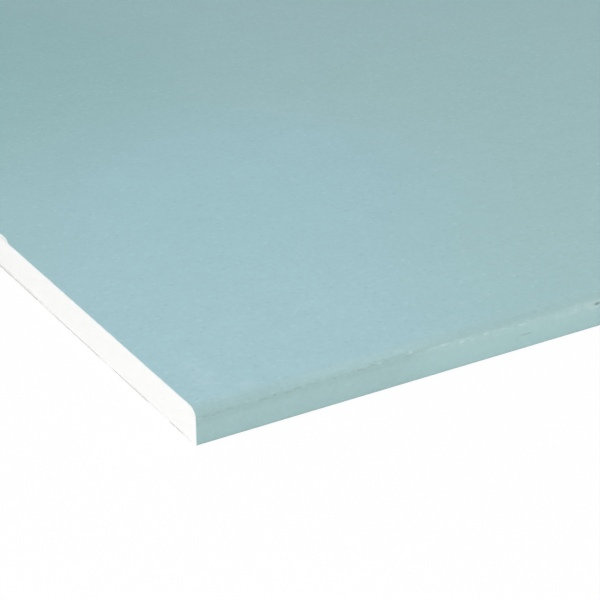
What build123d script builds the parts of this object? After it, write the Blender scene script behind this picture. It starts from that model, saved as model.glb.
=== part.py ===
from build123d import *
import os

# Drywall sheet lying flat, face up. All sizes are in millimetres.
# X runs along the paper-wrapped long edges, Y across the sheet, Z up out of the face.
# The origin is the middle of the underside.

# Whole sheet, over both papers
sheet_length = 2400.0
sheet_width = 1200.0
sheet_thickness = 12.5

# Gypsum core, rounded along the long edges
core_face_arris_radius = 2.9
core_back_arris_radius = 0.3

# Face paper, wrapped round both long edges and folded under the back as a flap.
# The flap's bare strip beside the edge lies almost flush with the back paper.
face_paper_thickness = 0.4
bare_strip_recess = 0.1

# Back paper, stopped short of the long edges and glued over the flaps,
# which step up under it just outside its edge
back_paper_thickness = 0.4
back_paper_setback = 6.0
flap_step_run = 1.0
paper_lap = 24.0

# The paper follows the core, so its outside radii are the core's plus its own thickness
face_arris_radius = core_face_arris_radius + face_paper_thickness
back_arris_radius = core_back_arris_radius + face_paper_thickness

# Levels above the surface that the sheet lies on
bare_strip_bottom = bare_strip_recess
bare_strip_top = bare_strip_bottom + face_paper_thickness
flap_bottom = back_paper_thickness
flap_top = flap_bottom + face_paper_thickness
core_top = sheet_thickness - face_paper_thickness

# Widths across the sheet
core_width = sheet_width - 2 * face_paper_thickness
back_paper_width = sheet_width - 2 * back_paper_setback
gap_between_flaps = back_paper_width - 2 * paper_lap


def band(width, bottom, top):
    """Rectangle across the sheet between two levels."""
    return Pos(0, (bottom + top) / 2) * Rectangle(width, top - bottom)


def edge_corners(outline, which):
    """The lowest (0) or highest (-1) corner of an outline at each long edge."""
    sides = outline.vertices().group_by(Axis.X)
    return [side.sort_by(Axis.Y)[which] for side in (sides[0], sides[-1])]


def paper_side(width, strip_level, flap_level, top, back_radius, face_radius):
    """Outline of one side of the face paper, closed across the back between the flaps."""
    right_half = [
        (back_paper_width / 2, flap_level),
        (back_paper_width / 2 + flap_step_run, strip_level),
        (width / 2, strip_level),
        (width / 2, top),
    ]
    left_half = [(-across, level) for across, level in reversed(right_half)]
    outline = Sketch() + Polygon(*right_half, *left_half)
    outline = fillet(edge_corners(outline, -1), face_radius)
    return fillet(edge_corners(outline, 0), back_radius)


def along_sheet(section):
    """Solid with one section from cut end to cut end."""
    first_end = Plane.YZ.offset(-sheet_length / 2)
    return extrude(first_end * section, sheet_length)


outside = paper_side(
    sheet_width, bare_strip_bottom, flap_bottom, sheet_thickness, back_arris_radius, face_arris_radius
)
inside = paper_side(
    core_width, bare_strip_top, flap_top, core_top, core_back_arris_radius, core_face_arris_radius
)

# Between the two flaps the core comes down onto the back paper
between_flaps = band(gap_between_flaps, flap_bottom, flap_top)

pieces = {
    "gypsum_core": along_sheet(inside + between_flaps),
    "face_paper": along_sheet(outside - inside - between_flaps),
    "back_paper": along_sheet(band(back_paper_width, 0, back_paper_thickness)),
}

os.makedirs("parts", exist_ok=True)
for name, piece in pieces.items():
    piece.label = name
    export_step(piece, f"parts/{name}.step")
    print(f"{name}: {piece.volume:.0f} mm3")
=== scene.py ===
import math

import bmesh
import bpy
import numpy as np
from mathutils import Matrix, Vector, noise


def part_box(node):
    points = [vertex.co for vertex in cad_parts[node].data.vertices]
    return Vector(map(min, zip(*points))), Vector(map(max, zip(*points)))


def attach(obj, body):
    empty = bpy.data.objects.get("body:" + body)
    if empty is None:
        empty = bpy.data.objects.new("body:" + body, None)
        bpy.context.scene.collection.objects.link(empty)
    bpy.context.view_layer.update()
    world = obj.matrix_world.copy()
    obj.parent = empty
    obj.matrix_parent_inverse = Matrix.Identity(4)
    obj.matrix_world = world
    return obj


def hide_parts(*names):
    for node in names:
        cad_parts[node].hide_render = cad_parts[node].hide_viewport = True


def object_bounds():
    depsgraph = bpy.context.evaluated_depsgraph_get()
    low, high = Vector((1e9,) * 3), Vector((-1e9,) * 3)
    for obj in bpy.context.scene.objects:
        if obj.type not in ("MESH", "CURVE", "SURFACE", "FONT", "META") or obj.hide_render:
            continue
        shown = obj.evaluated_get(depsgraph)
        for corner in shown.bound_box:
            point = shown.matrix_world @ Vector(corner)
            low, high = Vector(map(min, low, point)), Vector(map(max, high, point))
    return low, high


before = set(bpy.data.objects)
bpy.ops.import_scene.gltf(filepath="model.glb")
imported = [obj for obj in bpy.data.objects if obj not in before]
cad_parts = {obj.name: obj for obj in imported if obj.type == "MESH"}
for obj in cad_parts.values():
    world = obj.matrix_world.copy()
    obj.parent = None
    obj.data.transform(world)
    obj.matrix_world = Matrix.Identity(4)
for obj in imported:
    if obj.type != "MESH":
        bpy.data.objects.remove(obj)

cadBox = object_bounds()
mm = 0.001
tiny = 1e-7
squareOn = 0.99               # a face looks along an axis when its normal does by this much
sharpAngle = math.radians(40)
bakeMapName = "OFBake"        # the UV map for baked pictures has this name
mapSpan = (0.004, 0.996)      # width of a baked picture that is used

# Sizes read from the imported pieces, in metres
sheetLow, sheetHigh = cadBox
coreLow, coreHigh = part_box("gypsum_core")
faceLow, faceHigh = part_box("face_paper")
backLow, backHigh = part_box("back_paper")
halfLength = sheetHigh.x
halfWidth = sheetHigh.y
sheetTop = sheetHigh.z
paperThickness = faceHigh.z - coreHigh.z
nearCorner = Vector(sheetLow)
print("sheet", round(2 * halfLength, 4), "by", round(2 * halfWidth, 4), "by", round(sheetTop, 5))


# Node graphs

class Wire:
    def __init__(self, tree, socket=None):
        self.tree = tree
        self.socket = socket

    # Adds one node: settings first, then values or links on its sockets
    def node(self, kind, settings=None, sockets=None, output=0):
        made = self.tree.nodes.new(kind)
        for name, value in (settings or {}).items():
            setattr(made, name, value)
        for name, value in (sockets or {}).items():
            if isinstance(value, Wire):
                self.tree.links.new(value.socket, made.inputs[name])
            else:
                made.inputs[name].default_value = value
        return Wire(self.tree, made.outputs[output] if made.outputs else None)

    # Another output of the same node
    def other(self, output):
        return Wire(self.tree, self.socket.node.outputs[output])

    def maths(self, operation, first, second=0.0):
        return self.node("ShaderNodeMath", {"operation": operation}, {0: first, 1: second})

    def __add__(self, other):
        return self.maths("ADD", self, other)

    def __radd__(self, other):
        return self.maths("ADD", other, self)

    def __sub__(self, other):
        return self.maths("SUBTRACT", self, other)

    def __rsub__(self, other):
        return self.maths("SUBTRACT", other, self)

    def __mul__(self, other):
        return self.maths("MULTIPLY", self, other)

    def __rmul__(self, other):
        return self.maths("MULTIPLY", other, self)

    def __abs__(self):
        return self.maths("ABSOLUTE", self)

    def larger(self, other):
        return self.maths("MAXIMUM", self, other)

    def sine(self):
        return self.maths("SINE", self)

    def cosine(self):
        return self.maths("COSINE", self)

    # 0 at low, 1 at high, eased between; low may be the larger
    def fade(self, low, high):
        sockets = {"Value": self, "From Min": min(low, high), "From Max": max(low, high)}
        eased = self.node("ShaderNodeMapRange", {"interpolation_type": "SMOOTHSTEP"}, sockets)
        return 1 - eased if low > high else eased

    # This wire is a mask between two colours
    def blend(self, under, over):
        sockets = {0: self, 6: under, 7: over}
        return self.node("ShaderNodeMix", {"data_type": "RGBA"}, sockets, 2)

    # This wire is a colour, made lighter or darker
    def shade(self, factor):
        return self.node("ShaderNodeVectorMath", {"operation": "SCALE"}, {0: self, "Scale": factor})

    # The rest are for a wire that is a place, in metres
    def vector(self, operation, other):
        return self.node("ShaderNodeVectorMath", {"operation": operation}, {0: self, 1: other})

    def axis(self, name):
        return self.node("ShaderNodeSeparateXYZ", None, {0: self}, name)

    # Soft noise around 0, or a mask that fades in between two of its levels
    def cloud(self, size, detail=2.0, roughness=0.5, stretch=(1, 1, 1), shift=(0, 0, 0), between=None):
        mapping = {"Vector": self, "Scale": stretch, "Location": shift}
        place = self.node("ShaderNodeMapping", None, mapping)
        sockets = {"Vector": place, "Scale": 1 / size, "Detail": detail, "Roughness": roughness}
        level = self.node("ShaderNodeTexNoise", None, sockets) - 0.5
        return level.fade(*between) if between else level

    # 1 in the core of an oval spot, 0 from its rim outwards
    def spot(self, centre, reach, core):
        away = self.vector("SUBTRACT", centre).vector("DIVIDE", reach)
        length = self.node("ShaderNodeVectorMath", {"operation": "LENGTH"}, {0: away}, "Value")
        return length.fade(1.0, core)

    # Short straight fibres, one to a cell and each turned its own way; the place is a flat one
    def fibres(self, spacing, length, width, shift):
        place = self.vector("ADD", (shift, shift / 2, 0))
        flat = {"voronoi_dimensions": "2D"}
        sockets = {"Vector": place, "Scale": 1 / spacing}
        middle = self.node("ShaderNodeTexVoronoi", flat, sockets, "Position")
        chance = middle.other("Color")
        turn = chance.axis("X") * math.tau
        away = place.vector("SUBTRACT", middle)
        across, up = away.axis("X"), away.axis("Y")
        lengthwise = abs(across * turn.cosine() + up * turn.sine()).fade(length / 2, length / 4)
        crosswise = abs(up * turn.cosine() - across * turn.sine()).fade(width / 2, width / 6)
        return lengthwise * crosswise * chance.axis("Y")


def paint(red, green, blue):
    # screen colour, 0 to 255, to the linear light that shaders use
    def linear(level):
        share = level / 255
        return share / 12.92 if share <= 0.04045 else ((share + 0.055) / 1.055) ** 2.4
    return (linear(red), linear(green), linear(blue), 1.0)


def newMaterial(name):
    material = bpy.data.materials.new(name)
    material.use_nodes = True
    material.node_tree.nodes.clear()
    return material, Wire(material.node_tree)


def finishMaterial(graph, look, colour, relief):
    bump = {"Strength": look["bumpStrength"], "Distance": look["bumpDepth"], "Height": relief}
    shader = graph.node("ShaderNodeBsdfPrincipled", None, {
        "Base Color": colour,
        "Roughness": look["roughness"],
        "Specular IOR Level": look["specular"],
        "Normal": graph.node("ShaderNodeBump", None, bump),
    })
    graph.node("ShaderNodeOutputMaterial", None, {"Surface": shader})


def weighted(patterns, shares):
    # patterns added up, each times its share
    return sum(patterns[name] * share for name, share in shares.items())


# How far a surface has to turn towards the ends, or up, to count as facing there
facing = {"end": (0.5, 0.8), "up": (0.2, 0.6)}


def cutAndUpward(graph):
    # masks of the cut ends and of the faces that look up
    outside = graph.node("ShaderNodeNewGeometry", output="True Normal")
    return abs(outside.axis("X")).fade(*facing["end"]), outside.axis("Z").fade(*facing["up"])


def fromCorner(along, across, height):
    # a place measured from the near bottom corner of the sheet
    return nearCorner + Vector((along, across, height))


# The crease that runs along each arris, where the paper was folded: a wavy line up the edge

crease = {
    "level": 9.65 * mm,
    # rise, length and start of each wave
    "waves": ((0.45 * mm, 165 * mm, 37 * mm), (0.13 * mm, 29 * mm, 4 * mm), (0.06 * mm, 11 * mm, 0)),
    "reach": 1.0 * mm,
    "depth": 0.14 * mm,
    "unevenSize": 9 * mm,
    "unevenShares": (0.7, 0.6),           # of the depth: everywhere, and added by the noise
    "pitch": 2.5 * mm,
    "rows": (7.6 * mm, 8.0 * mm, 8.4 * mm, 8.8 * mm),
    "top": 11.0 * mm,
    # its colour: rim and core of the line and of the smear below it, and wrinkles that break it up
    "line": (0.50 * mm, 0.10 * mm),
    "smear": (2.2 * mm, 0.3 * mm),
    "smearBelow": 0.6 * mm,
    "jitter": 0.9 * mm,
    "wrinkleLength": 5.5 * mm,
    "wrinkleFall": 0.5 * mm,
    "wrinkleWander": 3,
}


def creaseLevel(along):
    level = crease["level"]
    for rise, pitch, start in crease["waves"]:
        level += rise * math.sin(math.tau * (along - start) / pitch)
    return level


def creaseWire(along):
    level = crease["level"]
    for rise, pitch, start in crease["waves"]:
        level = ((along - start) * (math.tau / pitch)).sine() * rise + level
    return level


# Face paper: pale teal liner with fine fibres, creased and scuffed along its arrises

facePaperLook = {
    "teal": paint(163, 197, 205),
    "greenTeal": paint(161, 195, 198),
    "paintedSheenTeal": paint(161, 197, 205),
    "paintedFallOffTeal": paint(153, 191, 195),
    "edgeTeal": paint(166, 196, 197),
    # dark colour for dirt, for painted shade in the crease and for the painted shadow at the foot
    "soilAndShade": paint(128, 152, 148),
    "scuff": paint(201, 219, 217),
    "chafed": paint(188, 213, 219),
    "cutEdge": paint(230, 237, 236),
    "dust": paint(240, 241, 239),
    "speckAndNickShade": paint(92, 122, 120),
    "roughness": 0.74,
    "specular": 0.18,
    "bumpStrength": 0.35,
    "bumpDepth": 0.12 * mm,
    "bluerShare": 0.5,
    "paintedLightCore": 0.25,
    "edgeFade": (-6 * mm, 2.5 * mm),      # face to edge teal, from the arris outwards over the paper
    "edgePulpShare": 0.5,                 # of the flecks and fibres, lost on the edges
    "soiledEnd": (90 * mm, 69 * mm),      # from a cut end: where dirt begins, and where it is full
    "lighterArris": (61 * mm, 39 * mm),     # from a cut end, and reach: less painted shade there
    "lighterShare": 0.6,
    "arrisShade": (4.0 * mm, 0.5 * mm),    # painted shade: rim and core, over the paper from the arris
    "arrisShadeShare": 0.11,
    "grubbyEdge": (1.0 * mm, 3.5 * mm),   # from the arris outwards over the paper
    "grubbyShare": 0.05,
    "paintedFootShadow": (1.2 * mm, 0.3 * mm),      # painted contact shadow along the foot of the edge
    "paintedFootShadowShare": 0.15,
    "soilShares": {"dashes": 0.26, "darkDots": 0.45},
    "soilSmearShare": 0.14,
    "rubShares": {"rubs": 0.26, "paleDots": 0.5},
    "rubSmearShare": 0.05,
    "rubbedDirtShare": 0.25,              # of the pale dots, in the dirty stretches
    "markCore": 0.3,
    "dustedFoot": (2.5 * mm, 1.2 * mm),   # gypsum dust on the cut edge, low down
    "toneShares": {"mottle": 0.10, "clouds": 0.05, "broad": 0.05, "streaks": 0.03},
    "pulpShares": {"paleFlecks": 0.07, "darkFlecks": -0.06, "paleFibres": 0.07, "darkFibres": -0.06,
                   "smudges": 0.06},
    "reliefShares": {"mottle": 0.6, "paleFlecks": 0.3, "paleFibres": 0.4, "darkFibres": -0.2},
    "rubReliefShare": 0.5,
}

# Patterns of the paper, laid over it before it was folded; those with two levels are masks
facePaperGrain = {
    "mottle": {"size": 2.2 * mm, "detail": 3.0, "roughness": 0.6},
    "smudges": {"size": 8 * mm},
    "clouds": {"size": 26 * mm, "detail": 3.0},
    "broad": {"size": 300 * mm},
    "streaks": {"size": 6 * mm, "detail": 3.0, "roughness": 0.6, "stretch": (0.03, 1, 1)},
    "paleFlecks": {"size": 2.3 * mm, "detail": 1.0, "shift": (0.4, 0.9, 0), "between": (0.08, 0.24)},
    "darkFlecks": {"size": 2.1 * mm, "detail": 1.0, "shift": (0.8, 0.1, 0), "between": (0.09, 0.25)},
    "bluer": {"size": 450 * mm, "detail": 1.0, "between": (-0.02, 0.18)},
    "dirtyStretches": {"size": 380 * mm, "detail": 0.0, "stretch": (1, 0.2, 1), "shift": (0.1, 0.3, 0),
                       "between": (0.0, 0.10)},
    "jitter": {"size": 3.2 * mm},
    "wander": {"size": 14 * mm, "detail": 1.0},
    "dashes": {"size": 1.5 * mm, "detail": 3.0, "roughness": 0.6, "stretch": (0.35, 1, 1),
               "between": (-0.04, 0.10)},
    "rubs": {"size": 1.3 * mm, "detail": 3.0, "roughness": 0.7, "stretch": (0.4, 1, 1),
             "shift": (0.7, 0.2, 0), "between": (-0.02, 0.13)},
    "paleDots": {"size": 1.5 * mm, "detail": 1.0, "stretch": (0.6, 1, 1), "shift": (0.3, 0.6, 0),
                 "between": (0.15, 0.24)},
    "darkDots": {"size": 1.4 * mm, "detail": 1.0, "stretch": (0.7, 1, 1), "shift": (0.1, 0.8, 0),
                 "between": (0.16, 0.25)},
    "wear": {"size": 2.0 * mm, "detail": 3.0, "roughness": 0.6, "stretch": (0.6, 1, 1),
             "between": (-0.22, 0.20)},
}

facePaperFibres = {
    "paleFibres": {"spacing": 3.8 * mm, "length": 1.8 * mm, "width": 0.5 * mm, "shift": 0.0},
    "darkFibres": {"spacing": 4.6 * mm, "length": 1.6 * mm, "width": 0.5 * mm, "shift": 3.7},
}

# Patches of painted light on the face: along and across from the near corner, reach, colour; the two
# bluer ones at the near corner are painted sheen, the dimmer one further in is painted shade where the
# light falls off, partly a shift of hue
facePaperPaintedLightPatches = (
    (39 * mm, 49 * mm, 118 * mm, "teal"),
    (93 * mm, 147 * mm, 123 * mm, "paintedSheenTeal"),
    (25 * mm, 330 * mm, 190 * mm, "paintedFallOffTeal"),
)

# Marks on the near corner: place from the corner, reach each way, colour, strength
facePaperMarks = (
    # the dark speck at 151 mm is painted shade of a small nick in the paper
    ((151.1 * mm, 0, 8.9 * mm), (1.7 * mm, 2 * mm, 0.75 * mm), "speckAndNickShade", 0.8),
    ((121.9 * mm, 0, 5.4 * mm), (3.6 * mm, 2 * mm, 0.45 * mm), "soilAndShade", 0.4),
    ((11.2 * mm, 22.3 * mm, 12.5 * mm), (1.2 * mm, 0.5 * mm, 1 * mm), "soilAndShade", 0.6),
    ((27.1 * mm, 0, 9.8 * mm), (0.9 * mm, 2 * mm, 0.5 * mm), "speckAndNickShade", 0.3),
    ((64.8 * mm, 0, 10.1 * mm), (1.4 * mm, 2 * mm, 0.5 * mm), "scuff", 0.28),
    ((76.6 * mm, 0, 10.7 * mm), (1.1 * mm, 2 * mm, 0.7 * mm), "scuff", 0.38),
    ((85.6 * mm, 0, 9.9 * mm), (2.2 * mm, 2 * mm, 0.4 * mm), "scuff", 0.22),
    ((89.4 * mm, 0, 10.0 * mm), (2.2 * mm, 2 * mm, 0.5 * mm), "scuff", 0.35),
    ((96.0 * mm, 0, 9.4 * mm), (1.7 * mm, 2 * mm, 0.65 * mm), "scuff", 0.48),
    ((100.2 * mm, 0, 9.2 * mm), (1.3 * mm, 2 * mm, 0.5 * mm), "scuff", 0.42),
    ((105.7 * mm, 0, 9.75 * mm), (1.8 * mm, 2 * mm, 0.6 * mm), "scuff", 0.38),
    ((111.6 * mm, 0, 9.6 * mm), (2.6 * mm, 2 * mm, 0.4 * mm), "scuff", 0.25),
    ((120.1 * mm, 0, 9.25 * mm), (2.4 * mm, 2 * mm, 0.45 * mm), "scuff", 0.38),
)

# Worn patches, broken up by the paper's grain: place, reach each way, colour, strength
facePaperWear = (
    ((147.5 * mm, 0.5 * mm, 8.6 * mm), (20 * mm, 4 * mm, 4.2 * mm), "scuff", 0.34),
    ((11.6 * mm, 17.6 * mm, 12.5 * mm), (8 * mm, 22 * mm, 3 * mm), "chafed", 0.40),
    ((20.5 * mm, 5.8 * mm, 12.5 * mm), (5 * mm, 5 * mm, 3 * mm), "chafed", 0.40),
)


def unrolled(place):
    # place on the paper before it was folded round the long edges
    across = place.axis("Y")
    drop = sheetTop - place.axis("Z")
    sockets = {0: place.axis("X"), 1: across + across.maths("SIGN", across) * drop}
    return place.node("ShaderNodeCombineXYZ", None, sockets)


def facePaperMaterial():
    look = facePaperLook
    material, graph = newMaterial("facePaper")
    place = graph.node("ShaderNodeTexCoord", output="Object")
    paper = unrolled(place)
    height = place.axis("Z")
    fromEnd = halfLength - abs(place.axis("X"))
    along = place.axis("X") + place.axis("Y") + (halfLength + halfWidth)
    outward = abs(paper.axis("Y")) - halfWidth      # over the paper, from the arris outwards
    onEdge = outward.fade(*look["edgeFade"])
    grain = {name: paper.cloud(**values) for name, values in facePaperGrain.items()}
    for name, values in facePaperFibres.items():
        grain[name] = paper.fibres(**values)

    # the teal drifts bluer and greener in broad patches, and is greener on the long edges
    colour = (grain["bluer"] * look["bluerShare"]).blend(look["greenTeal"], look["teal"])
    # painted light: bluer patches of painted sheen by the near corner, and a dimmer patch of painted
    # shade further in
    for fromNear, inwards, reach, name in facePaperPaintedLightPatches:
        centre = fromCorner(fromNear, inwards, sheetTop)
        patch = place.spot(centre, (reach, reach, reach), look["paintedLightCore"])
        colour = patch.blend(colour, look[name])
    colour = onEdge.blend(colour, look["edgeTeal"])

    # painted shade darkens the arris, and dirt the edge below the crease beside the cut ends
    dirty = fromEnd.fade(*look["soiledEnd"]).larger(grain["dirtyStretches"])
    lighterAt, lighterReach = look["lighterArris"]
    lessArrisShade = abs(fromEnd - lighterAt).fade(lighterReach, lighterReach / 3)
    paintedArrisShade = abs(outward).fade(*look["arrisShade"]) * (1 - lessArrisShade * look["lighterShare"])
    grubby = outward.fade(*look["grubbyEdge"]) * dirty

    # pulp: fine mottle, soft clouds, faint streaks along the sheet, pale and dark flecks and fibres
    pulp = weighted(grain, look["pulpShares"]) * (1 - onEdge * look["edgePulpShare"])
    tone = 1 + weighted(grain, look["toneShares"]) + pulp
    # painted shade on the arris, and dirt on the edge below it, darken the colour
    colour = colour.shade(tone - paintedArrisShade * look["arrisShadeShare"] - grubby * look["grubbyShare"])

    # crease: short wrinkles, each lower at its far end; dark near the cut ends with dirt and painted
    # shade in the groove, else rubbed pale
    wrinkle = along * (1 / crease["wrinkleLength"]) + grain["wander"] * crease["wrinkleWander"]
    wrinkle = wrinkle.maths("FRACT", wrinkle) - 0.5
    gap = height - creaseWire(along) + grain["jitter"] * crease["jitter"]
    gap = gap + wrinkle * crease["wrinkleFall"]
    line = abs(gap).fade(*crease["line"])
    smear = abs(gap + crease["smearBelow"]).fade(*crease["smear"])
    soilAndShade = dirty * (line * weighted(grain, look["soilShares"]) + smear * look["soilSmearShare"])
    # painted contact shadow along the foot of the edge, in the dark soil colour
    paintedFootShadow = height.fade(*look["paintedFootShadow"]) * look["paintedFootShadowShare"]
    colour = (soilAndShade + paintedFootShadow).blend(colour, look["soilAndShade"])
    rubbed = (1 - dirty) * (line * weighted(grain, look["rubShares"]) + smear * look["rubSmearShare"])
    rubbed = rubbed + dirty * line * grain["paleDots"] * look["rubbedDirtShare"]
    colour = rubbed.blend(colour, look["scuff"])

    # single marks and worn patches
    for centre, reach, name, strength in facePaperMarks:
        mark = place.spot(fromCorner(*centre), reach, look["markCore"]) * strength
        colour = mark.blend(colour, look[name])
    for centre, reach, name, strength in facePaperWear:
        worn = place.spot(fromCorner(*centre), reach, 0) * grain["wear"] * strength
        colour = worn.blend(colour, look[name])

    # cut edges at the ends, dusted with gypsum low down, like the inside of the flaps
    cut, upward = cutAndUpward(graph)
    low = height.fade(*look["dustedFoot"])
    bare = low.blend(look["cutEdge"], look["dust"])
    colour = cut.larger(upward * low).blend(colour, bare)

    relief = weighted(grain, look["reliefShares"]) + grain["rubs"] * line * look["rubReliefShare"]
    finishMaterial(graph, look, colour, relief)
    return material


# Gypsum: chalky white, finely porous

gypsumLook = {
    "chalk": paint(246, 246, 245),
    "pitShade": paint(234, 234, 231),
    "roughness": 0.95,
    "specular": 0.15,
    "bumpStrength": 0.4,
    "bumpDepth": 0.2 * mm,
    "pitShadeShare": 0.7,
    "toneShares": {"grain": 0.04, "patches": 0.03},
    "reliefShares": {"grain": 0.6, "bubbles": -1},
}

gypsumGrain = {
    "grain": {"size": 0.7 * mm, "detail": 3.0},
    "patches": {"size": 7 * mm},
    "bubbles": {"size": 1.1 * mm, "detail": 1.0, "between": (0.16, 0.26)},
}


def gypsumMaterial():
    look = gypsumLook
    material, graph = newMaterial("gypsum")
    place = graph.node("ShaderNodeTexCoord", output="Object")
    grain = {name: place.cloud(**values) for name, values in gypsumGrain.items()}
    # the bubbles are painted darker: painted shade in the pits
    colour = (grain["bubbles"] * look["pitShadeShare"]).blend(look["chalk"], look["pitShade"])
    colour = colour.shade(1 + weighted(grain, look["toneShares"]))
    finishMaterial(graph, look, colour, weighted(grain, look["reliefShares"]))
    return material


# Back paper: grey recycled liner

backPaperLook = {
    "grey": paint(196, 193, 186),
    "fleck": paint(150, 146, 138),
    "cutEdge": paint(200, 200, 197),
    "dust": paint(242, 242, 240),
    "roughness": 0.85,
    "specular": 0.2,
    "bumpStrength": 0.3,
    "bumpDepth": 0.1 * mm,
    "fleckShare": 0.6,
    "toneShares": {"mottle": 0.14, "clouds": 0.08, "streaks": 0.05},
    "dustShare": 0.7,
    "dustedAt": (23.8 * mm, 9 * mm),      # on the near cut end: from the near long edge, and reach
    "dustedCore": 0.6,
}

backPaperGrain = {
    "mottle": {"size": 2.0 * mm, "detail": 3.0, "roughness": 0.6},
    "clouds": {"size": 30 * mm, "detail": 3.0},
    "streaks": {"size": 7 * mm, "detail": 3.0, "roughness": 0.6, "stretch": (0.03, 1, 1)},
    "dust": {"size": 14 * mm, "between": (-0.05, 0.12)},
}

backPaperFlecks = {"spacing": 5.0 * mm, "length": 2.4 * mm, "width": 0.5 * mm, "shift": 1.3}


def backPaperMaterial():
    look = backPaperLook
    material, graph = newMaterial("backPaper")
    place = graph.node("ShaderNodeTexCoord", output="Object")
    grain = {name: place.cloud(**values) for name, values in backPaperGrain.items()}
    flecks = place.fibres(**backPaperFlecks)
    colour = (flecks * look["fleckShare"]).blend(look["grey"], look["fleck"])
    colour = colour.shade(1 + weighted(grain, look["toneShares"]))

    # gypsum clings to the inside; the cut edges are bare or dusted
    cut, upward = cutAndUpward(graph)
    colour = upward.blend(colour, look["dust"])
    dustedAt, reach = look["dustedAt"]
    nearDust = place.spot(fromCorner(0, dustedAt, 0), (reach, reach, reach), look["dustedCore"])
    dusted = (grain["dust"] * look["dustShare"]).larger(nearDust)
    colour = cut.blend(colour, dusted.blend(look["cutEdge"], look["dust"]))
    finishMaterial(graph, look, colour, grain["mottle"])
    return material


# Modelling helpers

def sheetBlock(width, bottom, top):
    bm = bmesh.new()
    bmesh.ops.create_cube(bm, size=1)
    bmesh.ops.scale(bm, vec=(2 * halfLength, width, top - bottom), verts=bm.verts)
    bmesh.ops.translate(bm, vec=(0, 0, (top + bottom) / 2), verts=bm.verts)
    return bm


def runsAlong(edge, axis):
    first, second = (v.co for v in edge.verts)
    return all(abs(first[k] - second[k]) < tiny for k in range(3) if k != axis)


def atEnd(vert):
    return halfLength - abs(vert.co.x) < tiny


def roundLongEdges(bm, level, radius, segments):
    edges = [e for e in bm.edges if runsAlong(e, 0) and abs(e.verts[0].co.z - level) < tiny]
    bmesh.ops.bevel(bm, geom=edges, offset=radius, offset_type="OFFSET", segments=segments,
                    profile=0.5, affect="EDGES", material=-1)


def facesTowards(bm, axis, sign):
    bm.normal_update()
    return [f for f in bm.faces if f.normal[axis] * sign > squareOn]


def sliceFaces(bm, faces, axis, places):
    # cuts faces by planes square to an axis, lowest first; what is passed is left alone
    normal = Vector((0, 0, 0))
    normal[axis] = 1
    done, rest = [], list(faces)
    for spot in sorted(places):
        edges = dict.fromkeys(e for f in rest for e in f.edges)
        verts = dict.fromkeys(v for f in rest for v in f.verts)
        made = bmesh.ops.bisect_plane(bm, geom=[*rest, *edges, *verts], dist=tiny,
                                      plane_co=normal * spot, plane_no=normal)
        pieces = [g for g in made["geom"] if isinstance(g, bmesh.types.BMFace)]
        done += [f for f in pieces if f.calc_center_median()[axis] < spot]
        rest = [f for f in pieces if f.calc_center_median()[axis] >= spot]
    return done + rest


def evenly(low, high, pitch):
    # places between low and high, about a pitch apart
    count = round((high - low) / pitch)
    return [low + (high - low) * step / count for step in range(1, count)]


def stepUpBack(bm, low, high, flapEdge, stepRun):
    # the underside lies at low along the long edges and steps up to high under the back paper
    cuts = (flapEdge, backHigh.y, backHigh.y + stepRun)
    sliceFaces(bm, facesTowards(bm, 2, -1), 1, [side * cut for side in (-1, 1) for cut in cuts])
    raised = [v for v in bm.verts if abs(v.co.y) < backHigh.y + tiny and abs(v.co.z - low) < tiny]
    bmesh.ops.translate(bm, vec=(0, 0, high - low), verts=raised)
    return [f for f in facesTowards(bm, 2, -1) if abs(f.calc_center_median().y) < flapEdge]


# A finer noise that is added to the coarse one
finerNoise = {"sizeShare": 0.37, "strengthShare": 0.5}


def ragged(place, size):
    finer = noise.noise(place / (finerNoise["sizeShare"] * size))
    return noise.noise(place / size) + finerNoise["strengthShare"] * finer


def mapBlock(bm, low, high, bands):
    # a band of the baked picture for each side: near and far end, near and far edge, bottom, top
    layer = bm.loops.layers.uv.new(bakeMapName)
    bm.normal_update()
    for f in bm.faces:
        axis = max(range(3), key=lambda k: abs(f.normal[k]))
        along, up = ((1, 2), (0, 2), (0, 1))[axis]
        band = bands[2 * axis + (f.normal[axis] > 0)]
        for loop in f.loops:
            place = loop.vert.co
            loop[layer].uv = (np.interp(place[along], (low[along], high[along]), mapSpan),
                              np.interp(place[up], (low[up], high[up]), band))


def settleOrder(bm):
    # some operators make their pieces in any order; this one is the same in every run
    for items in (bm.verts, bm.faces):
        corners = {item: sorted(tuple(v.co) for v in getattr(item, "verts", [item])) for item in items}
        rank = {item: place for place, item in enumerate(sorted(items, key=corners.get))}
        items.sort(key=rank.get)


def finishPiece(bm, name, material, node):
    bmesh.ops.recalc_face_normals(bm, faces=bm.faces)
    settleOrder(bm)
    mesh = bpy.data.meshes.new(name)
    bm.to_mesh(mesh)
    bm.free()
    mesh.shade_smooth()
    mesh.set_sharp_from_angle(angle=sharpAngle)
    mesh.materials.append(material)
    piece = bpy.data.objects.new(name, mesh)
    bpy.context.scene.collection.objects.link(piece)
    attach(piece, "root")
    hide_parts(node)
    mesh.calc_loop_triangles()
    print(name, len(mesh.loop_triangles), "triangles")


# Face paper

facePaper = {
    "arrisRadius": 3.3 * mm,
    "arrisSegments": 12,
    "foldRadius": 0.7 * mm,
    "foldSegments": 4,
    "flapWidth": 30 * mm,
    "flapTop": 1.2 * mm,        # below this the cut is clean
    "stepRun": 1.0 * mm,
    "endStrip": 1.6 * mm,
    "frayPitch": 1.5 * mm,
    "frayDepth": 0.22 * mm,
    "fraySize": 2.4 * mm,
    "tornAt": 144.4 * mm,       # nick at the near cut end, from the near long edge
    "tornReach": 5.9 * mm,
    "tornDepth": 1.1 * mm,
}

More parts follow.
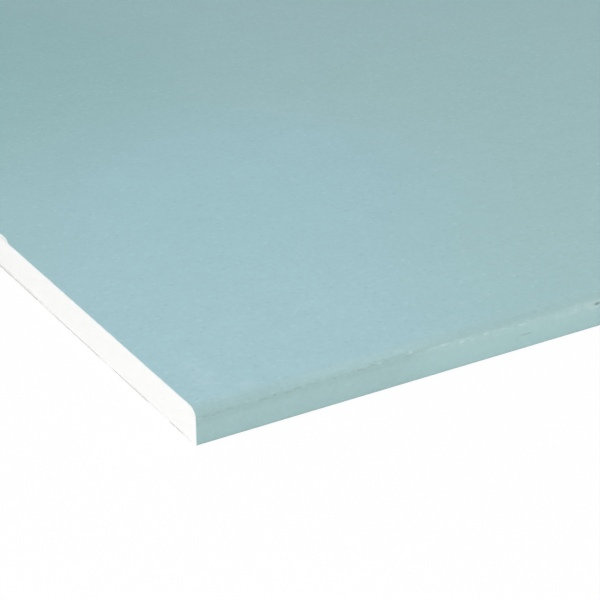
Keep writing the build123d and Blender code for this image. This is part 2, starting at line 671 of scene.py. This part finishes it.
# Shares of the baked picture; the marked corner and the long edges get more than their size
facePaperMap = {
    "cornerReach": 300 * mm,
    "along": (mapSpan[0], 0.36, mapSpan[1]),      # near cut end, corner's reach, far cut end
    # near flap's end, edge's foot, arris, corner's reach, then far arris, edge's foot, flap's end
    "across": (0.07, 0.10, 0.27, 0.50, 0.78, 0.88, 0.90),
    "inside": (0.005, 0.050),
    "flapEnds": ((0.055, 0.057), (0.061, 0.063)),      # near and far, outside to inside
    "cutEnds": ((0.920, 0.945), (0.960, 0.985)),
}


def mapFacePaper(bm, outside):
    share = facePaperMap
    edgeFoot = faceLow.z + facePaper["foldRadius"]
    arris = halfWidth - facePaper["arrisRadius"]
    foot = halfWidth + sheetTop - edgeFoot
    flapEnd = foot + facePaper["flapWidth"] + edgeFoot
    corner = share["cornerReach"]
    alongStops = (-halfLength, corner - halfLength, halfLength)
    acrossStops = (-flapEnd, -foot, -arris, corner - halfWidth, arris, foot, flapEnd)

    def overPaper(place):
        # distance over the outside from the middle of the face, negative towards the near edge
        width, height = abs(place.y), place.z
        under = height < sheetTop / 2 and (height < edgeFoot - tiny or width < coreHigh.y - tiny)
        run = foot + halfWidth - width + edgeFoot - height if under else width + sheetTop - height
        return math.copysign(run, place.y)

    layer = bm.loops.layers.uv.new(bakeMapName)
    bm.normal_update()
    for f in bm.faces:
        innerVerts = sum(v not in outside for v in f.verts)
        for loop in f.loops:
            place, inner = loop.vert.co, loop.vert not in outside
            run = overPaper(place)
            u = np.interp(place.x, alongStops, share["along"])
            if innerVerts == 0:
                v = np.interp(run, acrossStops, share["across"])
            elif innerVerts == len(f.verts):
                v = np.interp(run, (-flapEnd, flapEnd), share["inside"])
            elif abs(f.normal.x) > 0.5:
                u = np.interp(run, (-flapEnd, flapEnd), mapSpan)
                v = share["cutEnds"][place.x > 0][inner]
            else:
                v = share["flapEnds"][place.y > 0][inner]
            loop[layer].uv = (u, v)


def makeFacePaper():
    size = facePaper
    bm = sheetBlock(2 * halfWidth, faceLow.z, sheetTop)
    roundLongEdges(bm, sheetTop, size["arrisRadius"], size["arrisSegments"])
    roundLongEdges(bm, faceLow.z, size["foldRadius"], size["foldSegments"])
    ends = facesTowards(bm, 0, 1) + facesTowards(bm, 0, -1)
    bmesh.ops.delete(bm, geom=ends, context="FACES")

    # the back is open between the flaps
    flapEdge = halfWidth - size["flapWidth"]
    middle = stepUpBack(bm, faceLow.z, backHigh.z, flapEdge, size["stepRun"])
    bmesh.ops.delete(bm, geom=middle, context="FACES")

    # cuts where the baked picture changes its scale
    sliceFaces(bm, bm.faces[:], 0, [nearCorner.x + facePaperMap["cornerReach"]])
    sliceFaces(bm, facesTowards(bm, 2, 1), 1, [nearCorner.y + facePaperMap["cornerReach"]])

    # a narrow strip across each end, with many points along the cut
    strip = halfLength - size["endStrip"]
    sliceFaces(bm, facesTowards(bm, 2, 1), 0, (-strip, strip))
    for e in [e for e in bm.edges if atEnd(e.verts[0]) and runsAlong(e, 1)]:
        if e.verts[0].co.z > sheetTop - tiny:
            cuts = round(e.calc_length() / size["frayPitch"])
            bmesh.ops.subdivide_edges(bm, edges=[e], cuts=cuts)

    # rows and columns where the crease runs
    for side in (-1, 1):
        sliceFaces(bm, facesTowards(bm, 1, side), 2, crease["rows"])
    low, high = crease["rows"][0], crease["top"]
    rows = [f for f in bm.faces if all(low - tiny < v.co.z < high for v in f.verts)]
    rows = sliceFaces(bm, rows, 0, evenly(-halfLength, halfLength, crease["pitch"]))
    bm.normal_update()
    creased = {v: v.normal.copy() for v in dict.fromkeys(v for f in rows for v in f.verts)}

    # the long faces beside the rows have many points on one line; split here, every triangle has area
    longFaces = [f for f in bm.faces if len(f.verts) > 4 and abs(f.normal.z) < squareOn]
    bmesh.ops.triangulate(bm, faces=longFaces, quad_method="BEAUTY", ngon_method="BEAUTY")

    outside = set(bm.verts)
    bmesh.ops.solidify(bm, geom=bm.faces[:], thickness=paperThickness)
    mapFacePaper(bm, outside)

    steady, added = crease["unevenShares"]
    for v, normal in creased.items():
        away = abs(v.co.z - creaseLevel(v.co.x + v.co.y + halfLength + halfWidth)) / crease["reach"]
        uneven = steady + added * noise.noise(v.co / crease["unevenSize"])
        v.co -= normal * crease["depth"] * max(0, 1 - away ** 2) * uneven
    for v in [v for v in bm.verts if atEnd(v)]:
        pull = 0
        if v.co.z > size["flapTop"]:
            pull = size["frayDepth"] * max(0, ragged(v.co, size["fraySize"]))
        torn = 1 - ((v.co.y - nearCorner.y - size["tornAt"]) / size["tornReach"]) ** 2
        if v.co.x < 0 and torn > 0 and v.co.z > coreHigh.z - tiny:
            pull += size["tornDepth"] * torn
        v.co.x -= math.copysign(pull, v.co.x)
    finishPiece(bm, "facePaper", facePaperMaterial(), "face_paper")


# Gypsum core, with sawn ends that are finely rough and pitted

gypsumCore = {
    "arrisRadius": 2.9 * mm,
    "arrisSegments": 8,
    "foldRadius": 0.3 * mm,
    "foldSegments": 2,
    "rowHeight": 1.3 * mm,
    "columnPitch": 1.5 * mm,
    "footRows": (1.05 * mm, 1.4 * mm, 1.8 * mm),
    "roughDepth": 0.10 * mm,
    "roughSize": 2.6 * mm,
    "roughFloor": -0.5,         # noise below this leaves the saw's plane as it is
    "pitDepth": 0.35 * mm,
    "pitSize": 3.1 * mm,
    "pitFloor": 0.45,
    # chips out of the foot of the near cut end: from the near long edge, reach, height, depth
    "chips": (
        (137.6 * mm, 46 * mm, 1.4 * mm, 0.5 * mm),
        (38 * mm, 7 * mm, 1.0 * mm, 0.25 * mm),
        (420 * mm, 60 * mm, 1.4 * mm, 0.5 * mm),
        (760 * mm, 35 * mm, 1.3 * mm, 0.4 * mm),
    ),
    "chipSize": 6 * mm,
    "chipShare": 0.5,           # of a chip's depth, more or less by noise of that size
    "mapBands": ((0.36, 0.68), (0.70, 0.99), (0.26, 0.29), (0.31, 0.34), (0.01, 0.12), (0.14, 0.24)),
}


def makeGypsumCore():
    size = gypsumCore
    bottom = faceLow.z + paperThickness
    flapTop = backHigh.z + paperThickness
    bm = sheetBlock(2 * coreHigh.y, bottom, coreHigh.z)
    roundLongEdges(bm, coreHigh.z, size["arrisRadius"], size["arrisSegments"])
    roundLongEdges(bm, bottom, size["foldRadius"], size["foldSegments"])
    flapEdge = halfWidth - facePaper["flapWidth"]
    middle = stepUpBack(bm, bottom, flapTop, flapEdge, facePaper["stepRun"])
    made = bmesh.ops.extrude_face_region(bm, geom=middle)
    bmesh.ops.delete(bm, geom=middle, context="FACES")
    lowered = [g for g in made["geom"] if isinstance(g, bmesh.types.BMVert)]
    bmesh.ops.translate(bm, vec=(0, 0, coreLow.z - flapTop), verts=lowered)

    arrisFoot = coreHigh.z - size["arrisRadius"]
    levels = [flapTop, *size["footRows"]]
    levels += evenly(size["footRows"][-1], arrisFoot, size["rowHeight"])
    levels += [v.co.z for v in bm.verts if v.co.z > arrisFoot - tiny and v.co.y > 0 and v.co.x > 0]
    columns = evenly(-halfWidth, halfWidth, size["columnPitch"])
    for side in (-1, 1):
        end = sliceFaces(bm, facesTowards(bm, 0, side), 2, levels)
        sliceFaces(bm, end, 1, columns)
    mapBlock(bm, coreLow, coreHigh, size["mapBands"])
    for v in [v for v in bm.verts if atEnd(v)]:
        rough = max(0, ragged(v.co, size["roughSize"]) - size["roughFloor"])
        pit = max(0, noise.noise(v.co / size["pitSize"]) - size["pitFloor"])
        pull = size["roughDepth"] * rough + size["pitDepth"] * pit
        for at, reach, height, depth in size["chips"]:
            along = 1 - ((v.co.y - nearCorner.y - at) / reach) ** 2
            up = 1 - v.co.z / height
            if v.co.x < 0 and along > 0 and up > 0:
                uneven = 1 + size["chipShare"] * ragged(v.co, size["chipSize"])
                pull += depth * along * math.sqrt(up) * uneven
        v.co.x -= math.copysign(pull, v.co.x)
    finishPiece(bm, "gypsumCore", gypsumMaterial(), "gypsum_core")


# Back paper

backPaper = {
    "frayPitch": 1.5 * mm,
    "frayDepth": 0.25 * mm,
    "fraySize": 3.0 * mm,
    "mapBands": ((0.76, 0.81), (0.83, 0.88), (0.90, 0.93), (0.95, 0.98), (0.01, 0.62), (0.64, 0.74)),
}


def makeBackPaper():
    size = backPaper
    bm = sheetBlock(2 * backHigh.y, backLow.z, backHigh.z)
    columns = evenly(-backHigh.y, backHigh.y, size["frayPitch"])
    for side in (-1, 1):
        sliceFaces(bm, facesTowards(bm, 0, side), 1, columns)
    mapBlock(bm, backLow, backHigh, size["mapBands"])
    for v in [v for v in bm.verts if atEnd(v)]:
        pull = size["frayDepth"] * max(0, ragged(v.co, size["fraySize"]))
        v.co.x -= math.copysign(pull, v.co.x)
    finishPiece(bm, "backPaper", backPaperMaterial(), "back_paper")


makeFacePaper()
makeGypsumCore()
makeBackPaper()

# Studio

studio = {
    "floorSpan": 80.0,
    "floorWhite": paint(246, 246, 246),
    "worldColour": (0.98, 1.0, 0.98, 1.0),
    "worldStrength": 0.44,
    "backgroundShare": 0.95,
}


def showingRays(graph):
    # rays that show the white background: from the camera, in gloss and through glass
    rays = graph.node("ShaderNodeLightPath", output="Is Camera Ray")
    return rays + rays.other("Is Glossy Ray") + rays.other("Is Transmission Ray")


def makeFloor():
    bm = bmesh.new()
    bmesh.ops.create_grid(bm, x_segments=1, y_segments=1, size=studio["floorSpan"] / 2)
    mesh = bpy.data.meshes.new("floor")
    bm.to_mesh(mesh)
    bm.free()
    material, graph = newMaterial("floor")
    matt = graph.node("ShaderNodeBsdfDiffuse", None, {"Color": studio["floorWhite"]})
    white = graph.node("ShaderNodeEmission", None, {"Color": (1, 1, 1, 1), "Strength": 1.0})
    mask = showingRays(graph) * studio["backgroundShare"]
    mixed = graph.node("ShaderNodeMixShader", None, {0: mask, 1: matt, 2: white})
    graph.node("ShaderNodeOutputMaterial", None, {"Surface": mixed})
    mesh.materials.append(material)
    floor = bpy.data.objects.new("floor", mesh)
    bpy.context.scene.collection.objects.link(floor)


def makeWorld():
    world = bpy.data.worlds.new("studio")
    bpy.context.scene.world = world
    world.use_nodes = True
    world.node_tree.nodes.clear()
    graph = Wire(world.node_tree)
    soft = graph.node("ShaderNodeBackground", None, {
        "Color": studio["worldColour"], "Strength": studio["worldStrength"]})
    white = graph.node("ShaderNodeBackground", None, {"Color": (1, 1, 1, 1), "Strength": 1.0})
    mixed = graph.node("ShaderNodeMixShader", None, {0: showingRays(graph), 1: soft, 2: white})
    graph.node("ShaderNodeOutputWorld", None, {"Surface": mixed})


# Soft boxes, placed and aimed in metres from the near corner; a share of 1 alone lights white fully
lamps = {
    "cornerBox": {"at": (-0.11, -0.025, 0.50), "aim": (0, 0, 0), "size": (0.4, 0.4), "share": 0.355,
                  "colour": (1.0, 0.985, 1.0)},
    "sheetBox": {"at": (1.5, 0.75, 1.1), "aim": (1.5, 0.75, 0), "size": (1.8, 0.9), "share": 0.43,
                 "colour": (1, 1, 1)},
    "leftFill": {"at": (-1.7, -0.2, 0.5), "aim": (0, 0.1, 0), "size": (1.0, 0.7), "share": 0.36,
                 "colour": (1, 1, 1)},
    "frontFill": {"at": (0.5, -1.0, 0.36), "aim": (0.12, 0, 0), "size": (0.8, 0.4), "share": 0.35,
                  "colour": (1, 1, 1)},
    "rearFill": {"at": (3.7, 2.3, 0.9), "aim": (2.2, 1.1, 0), "size": (1.2, 0.9), "share": 0.30,
                 "colour": (1, 1, 1)},
}


def makeLamps():
    for name, lamp in lamps.items():
        away = Vector(lamp["at"]) - Vector(lamp["aim"])
        light = bpy.data.lights.new(name, "AREA")
        light.shape = "RECTANGLE"
        light.size, light.size_y = lamp["size"]
        light.color = lamp["colour"]
        light.energy = lamp["share"] * math.pi ** 2 * away.length_squared
        holder = bpy.data.objects.new(name, light)
        holder.location = nearCorner + Vector(lamp["at"])
        holder.rotation_euler = (-away).to_track_quat("-Z", "Y").to_euler()
        holder.visible_camera = False
        bpy.context.scene.collection.objects.link(holder)


# Camera, placed from the near bottom corner of the sheet

shot = {
    "fromCorner": (-225.5 * mm, -432.9 * mm, 287.4 * mm),
    "turn": 31.12,
    "tilt": 26.12,
    "lens": 113.97,
    "sensor": 36.0,
    "clipStart": 10 * mm,
}


def makeCamera():
    camera = bpy.data.cameras.new("camera")
    camera.lens = shot["lens"]
    camera.sensor_width = shot["sensor"]
    camera.clip_start = shot["clipStart"]
    holder = bpy.data.objects.new("camera", camera)
    holder.location = fromCorner(*shot["fromCorner"])
    turn, tilt = math.radians(shot["turn"]), math.radians(shot["tilt"])
    level = math.cos(tilt)
    ahead = Vector((math.sin(turn) * level, math.cos(turn) * level, -math.sin(tilt)))
    holder.rotation_euler = ahead.to_track_quat("-Z", "Y").to_euler()
    bpy.context.scene.collection.objects.link(holder)
    bpy.context.scene.camera = holder


makeFloor()
makeWorld()
makeLamps()
makeCamera()
bpy.context.scene.view_settings.view_transform = "Standard"
print("studio and camera ready")
